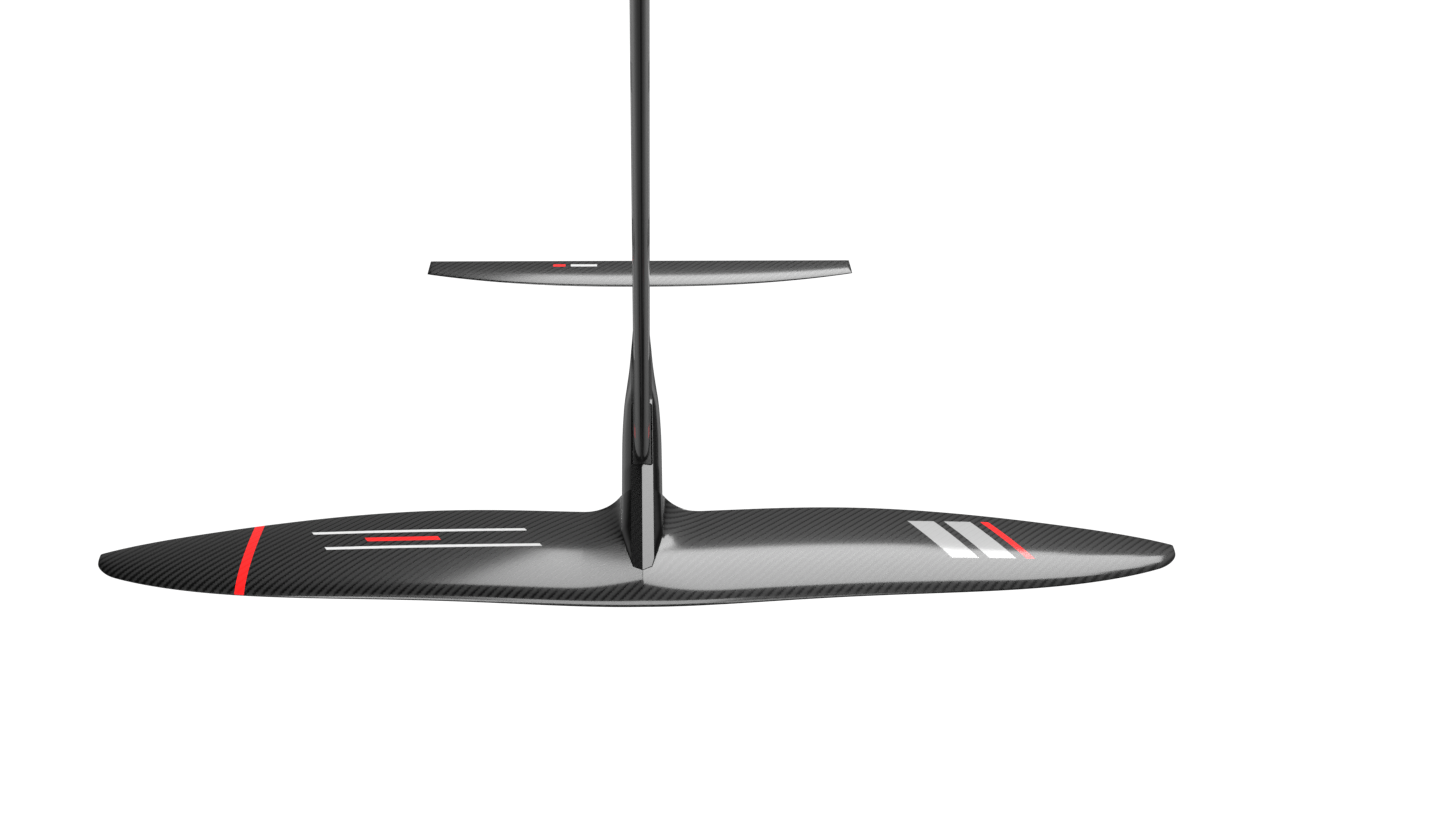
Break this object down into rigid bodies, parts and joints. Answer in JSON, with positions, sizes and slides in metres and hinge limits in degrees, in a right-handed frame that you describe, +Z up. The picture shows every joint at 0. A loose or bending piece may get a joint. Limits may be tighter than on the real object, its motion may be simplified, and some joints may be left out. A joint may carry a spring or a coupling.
{
  "type": "hydrofoil set",
  "caption": "High-aspect carbon hydrofoil set: front wing saddled under a ridged fuselage, tapered foil-section mast with slotted base plate, and small rear stabiliser.",
  "frame": {"origin": "centre of the four bolt slots on the base plate's top face, where the set bolts under a board", "axes": "+X across the span to the right as seen from the front with the mast up, +Y aft towards the stabiliser, +Z up out of the base plate into the board"},
  "size_m": [1.0334, 0.5714, 0.809],
  "materials": {
    "carbon_wing": "clear gloss over black twill carbon",
    "carbon_fuselage": "gloss black moulded carbon",
    "carbon_mast": "satin black carbon with fibre along the mast",
    "carbon_plate": "satin black moulded carbon",
    "black_alloy": "black anodised",
    "screw_steel": "stainless, satin",
    "insert_steel": "stainless, machined",
    "shim_plastic": "black moulded nylon",
    "foam": "closed-cell structural foam"
  },
  "bodies": {
    "root": {"front_wing": "carbon_wing", "wing_core_right": "foam", "wing_core_left": "foam", "wing_screws": "screw_steel", "wing_inserts": "insert_steel", "fuselage": "carbon_fuselage", "mast": "carbon_mast", "mast_web": "carbon_mast", "mast_core_front": "foam", "mast_core_aft": "foam", "mast_foot": "black_alloy", "mast_foot_inserts": "insert_steel", "mast_screws": "screw_steel", "mast_head": "black_alloy", "mast_head_inserts": "insert_steel", "base_plate": "carbon_plate", "plate_screws": "screw_steel", "stabiliser": "carbon_wing", "stabiliser_shim": "shim_plastic", "stabiliser_screws": "screw_steel", "stabiliser_inserts": "insert_steel"}
  },
  "joints": []
}
